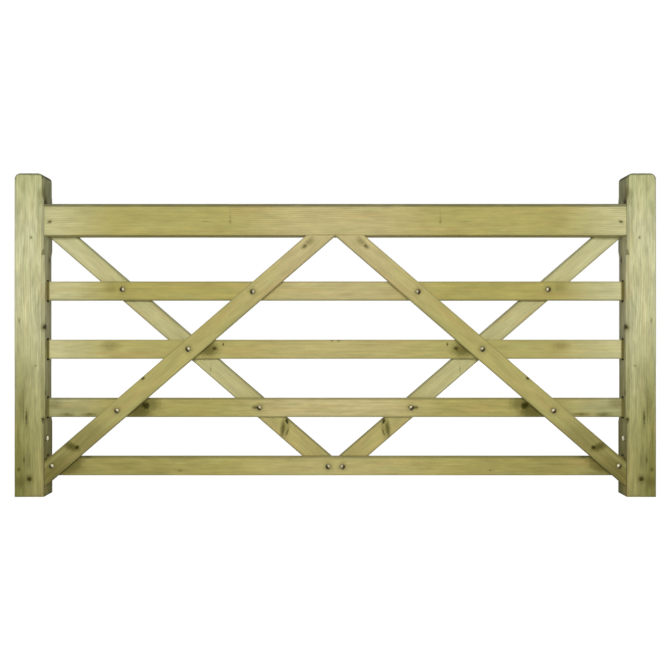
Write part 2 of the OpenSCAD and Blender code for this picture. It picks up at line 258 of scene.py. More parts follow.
SPECS["third_rail"] = Spec(
    seed=21.6, pith=(0.13, 0.05), ring=0.0054, ends=1, mid=0.55, pale=0.15, green=0,
    joint=1, upper=(0.18, 0.007), lower=(0.25, 0.007),
    knots=(
        Knot(109.8, 346, 0.011, 2, 0.05, 0.32),
        Knot(214.4, 348.8, 0.0072, 1.2, 0.76, 0.55, angle=20),
        Knot(208, 349.6, 0.016, 1.5, 0.12, 0.8),
        Knot(223.3, 344.4, 0.0026, 2, 0.75, 0.3, angle=85),
        Knot(332, 340.8, 0.0032, 1.2, 0.65, 0.25),
    ),
)
SPECS["fourth_rail"] = Spec(
    seed=25.4, pith=(-0.11, 0.035), ring=0.0051, ends=1.3, mid=1, pale=0.05, green=0.9,
    damp=1.5, joint=0.9, upper=(0.45, 0.009), lower=(0.4, 0.007), mottle=1.2,
    knots=(
        Knot(145.6, 405.6, 0.014, 1.2, 0.97, 0.7, angle=35),
        Knot(138, 409.5, 0.024, 1.3, 0.25, 1),
        Knot(255.3, 407.5, 0.0048, 1.7, 0.45, 0.55),
        Knot(54, 403.5, 0.012, 1.4, 0.05, 0.35),
        Knot(147, 404, 0.019, 1.5, 0, 0.7),
        Knot(67, 414.6, 0.0045, 4.5, 0.2, 0.5),
        Knot(89, 414.3, 0.0042, 5, 0.25, 0.5),
    ),
)
SPECS["bottom_rail"] = Spec(
    seed=29.8, pith=(0.125, 0.055), ring=0.0053, ends=0.6, mid=0.5, pale=0.05, green=0,
    damp=1, joint=0.8, upper=(0.5, 0.01), lower=(0.25, 0.007), mottle=1.2,
    knots=(
        # A brown patch beside the front brace's foot, given as a knot without a core
        Knot(74, 464, 0.013, 2.2, 0, 0.7, angle=40),
        Knot(87, 456.8, 0.005, 4, 0.65, 0.3),
        Knot(180, 470.5, 0.0035, 3, 0.2, 0.15),
    ),
)

RAILS = ("second_rail", "third_rail", "fourth_rail", "bottom_rail")
BOLTED = ("front_brace", "crossing", "back_brace")
TENON_PEGS = ("left_tenon_pegs", "right_tenon_pegs")
BRACE_PEGS = ("front_brace_pegs", "back_brace_pegs")
BRACES = ("left_front_brace", "left_back_brace")


def srgb(red, green, blue):
    """The linear colour of one that is given as it looks on screen, from 0 to 255."""
    def linear(value):
        share = value / 255
        return share / 12.92 if share <= 0.04045 else ((share + 0.055) / 1.055) ** 2.4
    return (linear(red), linear(green), linear(blue), 1.0)


# Colours of the wood and the metal
OLIVE = srgb(173, 163, 94)
PALE_END = srgb(200, 195, 146)
PALE_GREEN = srgb(199, 199, 157)
PALE_MID = srgb(194, 181, 130)
# Painted shade towards the feet and the outer lower ends, plain and green
FOOT_SHADE = srgb(118, 110, 58)
FOOT_SHADE_GREEN = srgb(116, 115, 62)
GREEN = srgb(168, 173, 112)
WARM = srgb(190, 158, 100)
LATEWOOD = srgb(144, 130, 70)
# Painted shadow of a stile across the end of a rail
JOINT_SHADOW = srgb(108, 100, 52)
KNOT_CORE = srgb(49, 46, 5)
KNOT_HALO = srgb(98, 92, 42)
# Dark arrises: partly stain, partly painted shade
ARRIS_STAIN_AND_SHADE = srgb(94, 93, 64)
# End grain, also used as painted shade on a stile's sides and round shoulders
END_GRAIN_AND_SHADE = srgb(52, 50, 29)
SAWN_EARLY = srgb(168, 156, 110)
SAWN_LATE = srgb(102, 90, 54)
PEG_EDGE = srgb(92, 76, 42)
PEG_HEART = srgb(166, 140, 88)
ZINC_CLEAN = srgb(174, 166, 132)
ZINC_DULL = srgb(130, 121, 90)
# A brighter zinc for the stile bolts: a painted highlight
ZINC_HIGHLIT = srgb(246, 240, 208)
# Soiling on the fasteners, and painted shade on the bolt heads
GRIME_AND_SHADE = srgb(30, 24, 8)


def on_photo(px, py, y):
    """The point at a given depth that a pixel of the photograph shows."""
    scale = PIXEL * (y - EYE.y) / EYE_DISTANCE
    return Vector(((px - VANISHING_PX.x) * scale, y, EYE.z - (py - VANISHING_PX.y) * scale))


def on_inner_face(px, py):
    """The point on the left stile's inner face that a pixel shows."""
    scale = STILE_HIGH.x / (px - VANISHING_PX.x)
    y = EYE.y + scale / PIXEL * EYE_DISTANCE
    return Vector((STILE_HIGH.x, y, EYE.z - (py - VANISHING_PX.y) * scale))


def smooth(low, high, value):
    """0 at low, 1 at high and an even curve between."""
    share = np.clip((value - low) / (high - low), 0, 1)
    return share * share * (3 - 2 * share)


def solids(node):
    """The lowest and highest corner of each solid in a node."""
    bm = bmesh.new()
    bm.from_mesh(frame["nodes"][node].data)
    bmesh.ops.remove_doubles(bm, verts=bm.verts, dist=1e-6)
    seen, boxes = set(), []
    for first in bm.verts:
        if first in seen:
            continue
        island, waiting = [], [first]
        while waiting:
            vert = waiting.pop()
            if vert not in seen:
                seen.add(vert)
                island.append(vert.co[:])
                waiting += [edge.other_vert(vert) for edge in vert.link_edges]
        boxes.append([Vector(map(pick, zip(*island))) for pick in (min, max)])
    bm.free()
    return boxes


def link(name, data):
    """A new object in the scene."""
    obj = bpy.data.objects.new(name, data)
    bpy.context.scene.collection.objects.link(obj)
    return obj


def write_mesh(bm, mesh):
    """Writes a bmesh to a mesh, its normals turned outwards."""
    bmesh.ops.recalc_face_normals(bm, faces=bm.faces)
    bm.to_mesh(mesh)
    bm.free()


def add_object(name, verts, faces):
    """A new object from points and faces."""
    mesh = bpy.data.meshes.new(name)
    mesh.from_pydata(verts, [], faces)
    bm = bmesh.new()
    bm.from_mesh(mesh)
    write_mesh(bm, mesh)
    return link(name, mesh)


def read(items, name):
    """A property of points or faces, as rows of three numbers."""
    values = np.empty(len(items) * 3)
    items.foreach_get(name, values)
    return values.reshape(-1, 3)


def store(mesh, name, domain, values):
    """Keeps a number for each point or face, for the shaders."""
    layer = mesh.attributes.new(name, "FLOAT", domain)
    layer.data.foreach_set("value", values.astype(np.float32))


# Boards

class Board:
    """A timber's axes and extent, found from the faces of its solid."""

    def __init__(self, node):
        self.node = node
        self.spec = SPECS[node]
        mesh = frame["nodes"][node].data
        areas = {}
        for face in mesh.polygons:
            if abs(face.normal.y) < 0.01:
                side = face.normal if face.normal.z + face.normal.x / 10 > 0 else -face.normal
                key = tuple(round(value, 3) for value in side)
                areas[key] = areas.get(key, 0) + face.area
        across = Vector(max(areas, key=areas.get)).normalized()
        depth = Vector((0, 1, 0))
        along = depth.cross(across)
        if along.x + along.z < 0:
            along = -along
        self.axes = np.array([along, across, depth])
        spans = read(mesh.vertices, "co") @ self.axes.T
        low, high = spans.min(0), spans.max(0)
        self.origin = ((low + high) / 2) @ self.axes
        self.half_len, self.half_w, self.half_t = (high - low) / 2
        self.front_y = low[2]
        self.knot_spots = self.find_knots()

    def local(self, point):
        """A point as along, across and depth from the board's middle."""
        return self.axes @ (np.array(point) - self.origin)

    def half_width(self, along):
        """Half the width at a place along the board."""
        return self.half_w

    def face_y(self, side):
        """Where the front (-1) or the back (1) of the board is."""
        return self.front_y + (1 + side) * self.half_t

    def find_knots(self):
        """Each knot's place along and across, its radius and its side."""
        is_rail = abs(self.axes[0][0]) > 0.99
        found = []
        for knot in self.spec.knots:
            if knot.face == "inner":
                continue
            side = 1 if knot.face == "back" else -1
            along, across, _ = self.local(on_photo(knot.px, knot.py, self.face_y(side)))
            sides = (-1, 1) if 2 * self.half_t < KNOT_DEEP else (side,)
            for place in ((-along, along) if is_rail else (along,)):
                found += [(place, across, knot.radius, shown) for shown in sides]
        return found


class Stile(Board):
    """A stile, which has round shoulders at the top."""

    def half_width(self, along):
        rise = along - (self.half_len - SHOULDER_R)
        if rise <= 0:
            return self.half_w
        return self.half_w - SHOULDER_R + math.sqrt(max(0, SHOULDER_R ** 2 - rise ** 2))


def on_board(board, kind):
    """The boxes and places of the bolts or washers on a board."""
    for group in BOLTED:
        for low, high in solids(group + kind):
            place = board.local((low + high) / 2)
            if abs(place[0]) < board.half_len and abs(place[1]) < board.half_w:
                yield low, high, place


def pressed_spots(board):
    """Where heads or washers press on a board: along, across, radius and side."""
    spots = []
    for kind, side in (("_bolts", -1), ("_washers", 1)):
        for low, high, place in on_board(board, kind):
            seat = low.y + HEAD_H if side < 0 else low.y
            if abs(seat - board.face_y(side)) <= SEAT_TOL:
                spots.append((place[0], place[1], (high.x - low.x) / 2, side))
    return spots


def mesh_lines(low, high, step, spots, extra=()):
    """Places from low to high, a step apart and closer near the spots."""
    places = list(np.linspace(low, high, max(2, round((high - low) / step) + 1)))
    places += [value for value in extra if low < value < high]
    for spot in spots:
        fine = np.arange(spot - FINE_REACH, spot + FINE_REACH, FINE_STEP)
        places += [value for value in fine if low < value < high]
    places.sort()
    kept = [places[0]]
    for value in places[1:]:
        if value - kept[-1] > LINE_GAP:
            kept.append(value)
    kept[-1] = high
    return kept


def section(radius, across_shares, depth_shares):
    """A rounded rectangle's points: shares of the half sizes, offsets from them, and normals."""
    points = []
    sides = (
        (across_shares, lambda s: (s, 0, -1, -radius, 0, -1), (1, -1)),
        (depth_shares, lambda s: (1, radius, s, 0, 1, 0), (1, 1)),
        (across_shares[::-1], lambda s: (s, 0, 1, radius, 0, 1), (-1, 1)),
        (depth_shares[::-1], lambda s: (-1, -radius, s, 0, -1, 0), (-1, -1)),
    )
    for number, (shares, flat, corner) in enumerate(sides):
        points += [flat(share) for share in shares]
        for step in range(ARC_STEPS + 1):
            angle = math.radians(90 * (number - 1 + step / ARC_STEPS))
            turn, rise = math.cos(angle), math.sin(angle)
            points.append((corner[0], radius * turn, corner[1], radius * rise, turn, rise))
    return points


def relief(board, spots, along, across, depth, normal):
    """How far a point of the surface stands out from the plain board."""
    seed = board.spec.seed
    out = SWELL * noise.noise((along * 3, across * 14 + seed, depth * 14))
    out += FIBRE_RELIEF * noise.noise((along * 9, across * 240, depth * 240 + seed))
    corner = min(abs(normal[0]), abs(normal[1]))
    if corner > 0.1:
        which = seed + math.copysign(3, across) + math.copysign(7, depth)
        worn = noise.noise((along * 6, which, 0)) + 0.6 * noise.noise((along * 31, which, 5))
        out -= ARRIS_WEAR * corner * max(0.0, worn + 0.1)
    if abs(normal[1]) < FLAT_FACE:
        return out
    for place, row, radius, side in board.knot_spots:
        away = math.hypot(along - place, across - row) / radius
        if away < 2 and side * normal[1] > 0:
            out += KNOT_RISE * (math.exp(-2 * away * away) - 0.6 * math.exp(-9 * (away - 1.1) ** 2))
    for place, row, radius, side in spots:
        away = math.hypot(along - place, across - row) / radius
        if away < 2 and side * normal[1] > 0:
            out -= PRESS_DEPTH * (1 - smooth(1.0, 1.7, away))
    return out


def check_depth(board, along, across, normal):
    """The depth of a drying check at a point of a board's front."""
    for check in board.spec.checks:
        share = (along + board.half_len - check.low) / (check.high - check.low)
        inside = 0 < share < 1 and abs(across - check.across) < CHECK_HALF_W / 2
        if inside and normal[1] < -FLAT_FACE:
            return check.depth * math.sin(math.pi * share)
    return 0.0


def sweep(board, name, low, high):
    """A planed board with its relief, between two places along it."""
    spots = pressed_spots(board)
    marks = spots + board.knot_spots
    checks = board.spec.checks
    shoulder = board.half_len - SHOULDER_R
    extra = [check.low - board.half_len for check in checks]
    extra += [shoulder + SHOULDER_R * math.sin(math.radians(turn)) for turn in range(0, 90, 12)]
    rings = mesh_lines(low, high, RING_STEP, [mark[0] for mark in marks], extra)
    flat_w, flat_t = board.half_w - EDGE_R, board.half_t - EDGE_R
    columns = [side * (flat_w - inset) for side in (-1, 1) for inset in ARRIS_LINES]
    for check in checks:
        columns += [check.across - CHECK_HALF_W, check.across, check.across + CHECK_HALF_W]
    rows = [side * (flat_t - inset) for side in (-1, 1) for inset in ARRIS_LINES]
    across = mesh_lines(-flat_w, flat_w, ACROSS_STEP, [mark[1] for mark in marks], columns)[1:-1]
    deep = mesh_lines(-flat_t, flat_t, ACROSS_STEP, [], rows)[1:-1]
    outline = section(EDGE_R, [a / flat_w for a in across], [d / flat_t for d in deep])
    verts = []
    for along in rings:
        half_w = board.half_width(along) - EDGE_R
        for share_w, off_w, share_t, off_t, *normal in outline:
            side, deep = share_w * half_w + off_w, share_t * flat_t + off_t
            out = relief(board, spots, along, side, deep, normal)
            out -= check_depth(board, along, side, normal)
            place = np.array((along, side + out * normal[0], deep + out * normal[1]))
            verts.append(board.origin + place @ board.axes)
    count = len(outline)
    last = (len(rings) - 1) * count
    faces = []
    for start in range(0, last, count):
        for point in range(count):
            after = start + (point + 1) % count
            faces.append((start + point, after, after + count, start + point + count))
    faces.append(tuple(range(count)))
    faces.append(tuple(range(last, last + count)))
    return add_object(name, verts, faces)


# Cutters

def prism(outline, place, low, high):
    """A solid with one outline from low to high; place turns its points into the frame's."""
    count = len(outline)
    verts = [place(p, q, h) for h in (low, high) for p, q in outline]
    faces = [tuple(range(count)), tuple(range(count, 2 * count))]
    for i in range(count):
        after = (i + 1) % count
        faces.append((i, after, count + after, count + i))
    return add_object("cutter", verts, faces)


def circle(radius, sides=40):
    turns = [2 * math.pi * i / sides for i in range(sides)]
    return [(radius * math.cos(turn), radius * math.sin(turn)) for turn in turns]


def rectangle(width, height):
    return [(p * width / 2, q * height / 2) for p, q in ((-1, -1), (1, -1), (1, 1), (-1, 1))]


def neck_hole():
    return rectangle(NECK_W + 2 * NECK_CLEAR, NECK_W + 2 * NECK_CLEAR)


def stadium(straight, width, sides=20):
    """An upright slot's outline with round ends: depth first, then height."""
    arc = [math.pi * i / sides for i in range(sides + 1)]
    top = [(width / 2 * math.cos(a), straight / 2 + width / 2 * math.sin(a)) for a in arc]
    return top + [(-p, -q) for p, q in top]


def along_y(point):
    return lambda p, q, h: (point.x + p, h, point.z + q)


def along_x(point):
    return lambda p, q, h: (h, point.y + p, point.z + q)


def carve(obj, tools, operation="DIFFERENCE"):
    """Cuts tools away from a mesh, or joins them to it, and removes them."""
    for tool in tools:
        step = obj.modifiers.new("carve", "BOOLEAN")
        step.operation = operation
        step.solver = "MANIFOLD"
        step.object = tool
    view = bpy.context.evaluated_depsgraph_get()
    made = bpy.data.meshes.new_from_object(obj.evaluated_get(view))
    obj.modifiers.clear()
    obj.data = made
    for tool in tools:
        bpy.data.objects.remove(tool)


def trim(obj, low, high):
    """Saws a mesh off at the sides, bottom and top of a box."""
    bm = bmesh.new()
    bm.from_mesh(obj.data)
    for axis in (0, 2):
        normal = Vector((0, 0, 0))
        normal[axis] = 1
        for corner, side in ((low, -1), (high, 1)):
            cut = bmesh.ops.bisect_plane(
                bm, geom=bm.verts[:] + bm.edges[:] + bm.faces[:], dist=1e-7,
                plane_co=corner, plane_no=normal * side, clear_outer=True,
            )
            edges = [item for item in cut["geom_cut"] if isinstance(item, bmesh.types.BMEdge)]
            if edges:
                bmesh.ops.edgeloop_fill(bm, edges=edges)
    write_mesh(bm, obj.data)


def bolt_cutters(board):
    """A board's bolt holes, and the square recesses behind the heads on it."""
    tools = []
    low_y, high_y = board.face_y(-1) - OVERRUN, board.face_y(1) + OVERRUN
    for low, high, _ in on_board(board, "_bolts"):
        if high.y < board.front_y:
            continue
        spot = along_y((low + high) / 2)
        tools.append(prism(circle(BOLT_D / 2 + BOLT_CLEAR), spot, low_y, high_y))
        if abs(low.y + HEAD_H - board.front_y) < SEAT_TOL:
            depth = board.front_y + NECK_LEN + NECK_CLEAR
            tools.append(prism(neck_hole(), spot, low_y, depth))
    return tools


def peg_cutters(nodes, low, high):
    """The peg holes that reach into a box."""
    tools = []
    for node in nodes:
        for start, end in solids(node):
            middle = (start + end) / 2
            if low.x < middle.x < high.x and low.z < middle.z < high.z:
                hole = circle((end.x - start.x) / 2 + PEG_CLEAR)
                reach = start.y - PEG_CLEAR, end.y + OVERRUN
                tools.append(prism(hole, along_y(middle), *reach))
    return tools


def tenon(node):
    """A rail's tenon: its straight height, thickness and middle."""
    low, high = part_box(node)
    middle = (low + high) / 2
    if node == "top_rail":
        return high.z - low.z - 2 * TOP_TENON_SHOULDER - TOP_TENON_T, TOP_TENON_T, middle
    return high.z - low.z - 2 * EDGE_R, high.y - low.y, middle


def stile_cutters():
    """The left stile's mortises, peg and bolt holes, and chamfers."""
    tools = []
    inner, outer = STILE_HIGH.x, STILE_LOW.x - OVERRUN
    for node in RAILS + ("top_rail",):
        straight, thick, middle = tenon(node)
        slot = stadium(straight, thick + 2 * TENON_CLEAR)
        reach = inner - MORTISE_DEPTH, inner + OVERRUN
        tools.append(prism(slot, along_x(middle), *reach))
    tools += peg_cutters(TENON_PEGS, STILE_LOW, STILE_HIGH)
    bolt_low, bolt_high = min(solids("stile_bolts"), key=lambda box: box[0].x)
    washer_low, washer_high = min(solids("stile_bolt_washers"), key=lambda box: box[0].x)
    spot = along_x((bolt_low + bolt_high) / 2)
    seat = (washer_high.y - washer_low.y) / 2 + SEAT_CLEAR
    tools += [
        prism(circle(BOLT_D / 2 + BOLT_CLEAR), spot, outer, inner + OVERRUN),
        prism(neck_hole(), spot, inner - NECK_LEN - NECK_CLEAR, inner + OVERRUN),
        prism(circle(seat), spot, outer, washer_high.x),
    ]
    rail_low, rail_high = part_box("top_rail")
    fourth_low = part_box("fourth_rail")[0]
    for side in (-1, 1):
        stop = rail_low.z - CHAMFER_STOP - CHAMFER_RUN
        tools.append(chamfer(side, fourth_low.z, stop, CHAMFER_LEG, CHAMFER_RUN))
        horn = rail_high.z + HORN_CHAMFER_STOP + CHAMFER_RUN
        tools.append(chamfer(side, horn, STILE_HIGH.z + OVERRUN, HORN_CHAMFER_LEG, 0))
    return tools


def chamfer(side, low, high, leg, high_run):
    """What a stopped chamfer takes off an inner edge of the left stile."""
    deep = leg / math.sqrt(2)
    edge = (STILE_HIGH.x, side * STILE_HIGH.y)
    outline = [
        (0, low - CHAMFER_RUN), (-deep, low), (-deep, high), (0, high + high_run),
        (OVERRUN, high + high_run), (OVERRUN, low - CHAMFER_RUN),
    ]
    turn = math.sqrt(0.5)

    def place(out, z, h):
        return (edge[0] + turn * (out - h), edge[1] + side * turn * (out + h), z)

    return prism(outline, place, -2 * leg, 2 * leg)


def mark(obj, board):
    """Stores grain places, distance from an arris, ends, and the stile sides that get painted
    shade, for the shader.
    """
    mesh = obj.data
    local = (read(mesh.vertices, "co") - board.origin) @ board.axes.T
    grain = mesh.attributes.new("grain_pos", "FLOAT_VECTOR", "POINT")
    grain.data.foreach_set("vector", local.astype(np.float32).ravel())
    stile = isinstance(board, Stile)
    half_w = np.array([board.half_width(value) for value in local[:, 0]])
    to_end = board.half_len - np.abs(local[:, 0])
    if not stile:
        to_end = np.full(len(local), FAR_END)
    inset = [half_w - np.abs(local[:, 1]), board.half_t - np.abs(local[:, 2]), to_end]
    store(mesh, "arris", "POINT", np.sort(np.stack(inset), axis=0)[1])
    square_on, sideways = np.abs(read(mesh.polygons, "normal") @ board.axes[:2].T).T
    sawn = smooth(*(SAWN_STILE if stile else SAWN_BRACE), square_on)
    store(mesh, "end_grain", "FACE", smooth(*END_TURN, square_on) + sawn)
    # The stile's sides, which the shader darkens as painted shade
    store(mesh, "side_shade", "FACE", smooth(*SIDE_SHADE_TURN, sideways) * stile)


def dress(obj, node, material):
    """Gives a piece its material and smooth shading, hangs it on the root body and hides the part
    it takes the place of.
    """
    obj.data.materials.clear()
    obj.data.materials.append(material)
    obj.data.polygons.foreach_set("use_smooth", [True] * len(obj.data.polygons))
    obj.data.set_sharp_from_angle(angle=math.radians(SHARP_DEG))
    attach(obj, "root")
    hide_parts(node)


def mirror_copy(obj, name):
    """The same piece on the other half of the gate."""
    mesh = obj.data.copy()
    mesh.transform(Matrix.Scale(-1, 4, (1, 0, 0)))
    mesh.flip_normals()
    return link(name, mesh)


# Timbers

def finish_timber(obj, board, pair=None):
    mark(obj, board)
    material = timber_material(board)
    twin = mirror_copy(obj, pair + "_timber") if pair else None
    dress(obj, board.node, material)
    if twin:
        dress(twin, pair, material)


def stiles():
    board = Stile("left_stile")
    obj = sweep(board, "left_stile_timber", -board.half_len, board.half_len)
    carve(obj, stile_cutters())
    finish_timber(obj, board, "right_stile")


def lower_rails():
    for node in RAILS:
        board = Board(node)
        obj = sweep(board, node + "_timber", -board.half_len, board.half_len)
        pegs = peg_cutters(TENON_PEGS, *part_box(node))
        carve(obj, bolt_cutters(board) + pegs)
        finish_timber(obj, board)


def stub_bar(board, width, thickness, low, high):
    """A bar along a brace, between two heights, for its stub tenon."""
    middle_y = board.front_y + board.half_t
    reach = board.half_len
    outline = rectangle(width, thickness)

    def place(p, q, h):
        spot = np.array((h, p, middle_y + q - board.origin[1]))
        return board.origin + spot @ board.axes

    bar = prism(outline, place, -reach, reach)
    box_low, box_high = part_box(board.node)
    trim(bar, Vector((box_low.x, 0, low)), Vector((box_high.x, 0, high)))
    return bar


def top_rail():
    board = Board("top_rail")
    low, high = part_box("top_rail")
    shoulder = -STILE_HIGH.x
    obj = sweep(board, "top_rail_timber", -shoulder, shoulder)
    straight, thick, middle = tenon("top_rail")
    tenons = []
    for side in (-1, 1):
        reach = sorted((side * (shoulder - OVERRUN), side * high.x))
        tenons.append(prism(stadium(straight, thick), along_x(middle), *reach))
    carve(obj, tenons, "UNION")
    width, thick = STUB_W + 2 * TENON_CLEAR, STUB_T + 2 * TENON_CLEAR
    tools = []
    for node in BRACES:
        pocket = stub_bar(Board(node), width, thick, low.z - OVERRUN, low.z + STUB_LEN)
        tools += [pocket, mirror_copy(pocket, "cutter")]
    carve(obj, tools + peg_cutters(TENON_PEGS + BRACE_PEGS, low, high))
    finish_timber(obj, board)


def braces():
    rail_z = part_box("top_rail")[0].z
    for node, pegs in zip(BRACES, BRACE_PEGS):
        board = Board(node)
        low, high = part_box(node)
        reach = board.half_len + board.half_w
        obj = sweep(board, node + "_timber", -reach, reach)
        trim(obj, low, Vector((high.x, high.y, rail_z)))
        stub = stub_bar(board, STUB_W, STUB_T, rail_z - STUB_LEN, high.z)
        carve(obj, [stub], "UNION")
        carve(obj, bolt_cutters(board) + peg_cutters((pegs,), low, high))
        finish_timber(obj, board, node.replace("left", "right"))


# Turned pieces

def lathe(bm, place, rings, sides, shape=None, closed=False, head_shade=None):
    """Adds a turned solid from rings of radius, height and darkness: soiling, and on bolt heads
    painted shade.
    """
    layer = bm.verts.layers.float.get("grime_and_shade") or bm.verts.layers.float.new("grime_and_shade")
    loops = []
    for radius, height, grime_and_shade in rings:
        loop = []
        for i in range(sides):
            angle = 2 * math.pi * i / sides
            reach = shape(radius, angle, height) if shape else radius
            spot = Vector((reach * math.cos(angle), reach * math.sin(angle), height))
            vert = bm.verts.new(place @ spot)
            vert[layer] = head_shade(vert.co, grime_and_shade) if head_shade else grime_and_shade
            loop.append(vert)
        loops.append(loop)
    pairs = list(zip(loops, loops[1:]))
    if closed:
        pairs.append((loops[-1], loops[0]))
    else:
        bm.faces.new(loops[0])
        bm.faces.new(loops[-1])
    for first, second in pairs:
        for i in range(sides):
            after = (i + 1) % sides
            bm.faces.new((first[i], first[after], second[after], second[i]))


def turned_set(node, suffix, material, add):
    """One piece for a node of like solids, each at its own place."""
    bm = bmesh.new()
    for number, (low, high) in enumerate(solids(node)):
        add(bm, *set_frame(low, high, node.startswith("stile")), low, high, number)
    mesh = bpy.data.meshes.new(node + suffix)
    write_mesh(bm, mesh)
    dress(link(node + suffix, mesh), node, material)


def set_frame(low, high, sideways):
    """A matrix whose Z runs along a fastener from its head, and its length."""
    middle = (low + high) / 2
    if not sideways:
        turn = Matrix.Rotation(math.radians(-90), 4, "X")
        return Matrix.Translation((middle.x, low.y, middle.z)) @ turn, high.y - low.y
    side = math.copysign(1, middle.x)
    turn = Matrix.Rotation(math.radians(90 * side), 4, "Y")
    start = low.x if side > 0 else high.x
    return Matrix.Translation((start, middle.y, middle.z)) @ turn, high.x - low.x


def bolt(bm, place, length, low, high, number):
    """A coach bolt with a domed head and a threaded end."""
    middle, radius, shank = (low + high) / 2, (high.z - low.z) / 2, BOLT_D / 2
    dome_h = HEAD_H - HEAD_RIM_H
    ball = (dome_h ** 2 + radius ** 2) / (2 * dome_h)
    spread = math.asin(radius / ball)
    thread_from = length - THREAD_LEN
    rings = []
    # Soiling and painted shade darken the dome towards its rim
    for step in range(1, DOME_STEPS + 1):
        angle = spread * step / (DOME_STEPS + 0.5)
        grime_and_shade = (step / DOME_STEPS) ** 4
        rings.append((ball * math.sin(angle), ball * (1 - math.cos(angle)), grime_and_shade))
    rings += [
        (radius, dome_h + RIM_LIP, 1.0), (radius, HEAD_H - RIM_LIP, 1.0),
        (radius - HEAD_CHAMFER, HEAD_H, 1.0), (shank, HEAD_H, 0.6),
        (shank, thread_from, 0.3),
    ]
    turns = np.arange(thread_from, length - TIP_LEN, THREAD_PITCH / THREAD_STEPS)
    rings += [(shank, float(height), 0.5) for height in turns]
    rings.append((shank - TIP_CHAMFER, length, 0.3))

    def thread(reach, angle, height):
        if height < thread_from or height > length - TIP_LEN / 2 or reach > shank:
            return reach
        phase = 2 * math.pi * height / THREAD_PITCH - angle
        return reach - THREAD_DEPTH * (0.5 + 0.5 * math.cos(phase))

    # Painted shade: each head darkens towards its lower, outer side, a little differently on each
    # head
    tilt = 0.45 + 0.4 * math.sin(2.1 * number)
    shaded_way = Vector((math.copysign(math.cos(tilt), middle.x), 0, -math.sin(tilt)))

    def head_shade(co, grime_and_shade):
        away = (co - middle).dot(shaded_way) / radius
        return max(grime_and_shade * 0.6, float(smooth(-0.35, 0.30, away)))

    sideways = high.x - low.x > high.y - low.y
    spin = Matrix.Rotation(number * BOLT_TURN, 4, "Z")
    lathe(bm, place @ spin, rings, TURNED_SIDES, thread, head_shade=None if sideways else head_shade)


def washer(bm, place, length, low, high, number):
    outer, inner, lip = (high.z - low.z) / 2, BOLT_D / 2 + BOLT_CLEAR, WASHER_LIP
    rings = [
        (inner + lip, 0, 0.4), (outer - lip, 0, 0.9), (outer, lip, 0.9),
        (outer, length - lip, 0.6), (outer - lip, length, 0.4), (inner + lip, length, 0.5),
        (inner, length - lip, 0.8), (inner, lip, 0.8),
    ]
    lathe(bm, place, rings, RING_SIDES, closed=True)


def nut(bm, place, length, low, high, number):
    """A hexagon nut, chamfered at both faces."""
    flats = sorted(high - low)[1] / 2
    bore = BOLT_D / 2 - THREAD_DEPTH / 2 + BORE_CLEAR
    levels = [*NUT_LEVELS, length / 2, *(length - level for level in NUT_LEVELS[::-1])]
    rings = [(flats, level, 0.25) for level in levels]
    rings += [
        (bore + BORE_LIP, length, 0.7), (bore, length - BORE_LIP, 0.9),
        (bore, BORE_LIP, 0.9), (bore + BORE_LIP, 0, 0.9),
    ]

    def hexagon(reach, angle, height):
        if reach < flats:
            return reach
        corner = flats / math.cos(math.radians(30) - angle % math.radians(60))
        cone = flats * NUT_FACE + NUT_SLOPE * min(height, length - height)
        return min(corner, cone)

    spin = Matrix.Rotation(number * NUT_TURN, 4, "Z")
    lathe(bm, place @ spin, rings, RING_SIDES, hexagon, closed=True)


def peg(bm, place, length, low, high, number):
    """A cleft peg, not quite round, bruised at the end that was struck."""
    radius = (high.x - low.x) / 2
    rings = [
        (radius * 0.75, 0, 0.5), (radius * 0.97, 0.003, 0.4), (radius, length - 0.0012, 0.6),
        (radius * 0.93, length - 0.0003, 1.0), (radius * 0.8, length, 0.5),
        (radius * 0.35, length + 0.0001, 0.0),
    ]

    def cleft(reach, angle, height):
        facet = PEG_FACET * (0.5 + 0.5 * math.cos(8 * angle + number))
        return reach * (1 - facet - PEG_OVAL * math.cos(3 * angle + number))

    lathe(bm, place, rings, TURNED_SIDES, cleft)


def fasteners():
    weathered = zinc_material("zinc_plate", ZINC_CLEAN, ZINC_DULL)
    # The stile bolts get a brighter copy of the zinc: a painted highlight
    highlit = zinc_material("highlit_zinc", ZINC_HIGHLIT, ZINC_CLEAN)
    peg_wood = peg_material()
    for group in BOLTED + ("stile",):
        stile = group == "stile"
        zinc = highlit if stile else weathered
        small = "stile_bolt" if stile else group
        sets = ((group + "_bolts", bolt), (small + "_washers", washer), (small + "_nuts", nut))
        for node, add in sets:
            turned_set(node, "_steel", zinc, add)
    for node in TENON_PEGS + BRACE_PEGS:
        turned_set(node, "_wood", peg_wood, peg)


# Materials

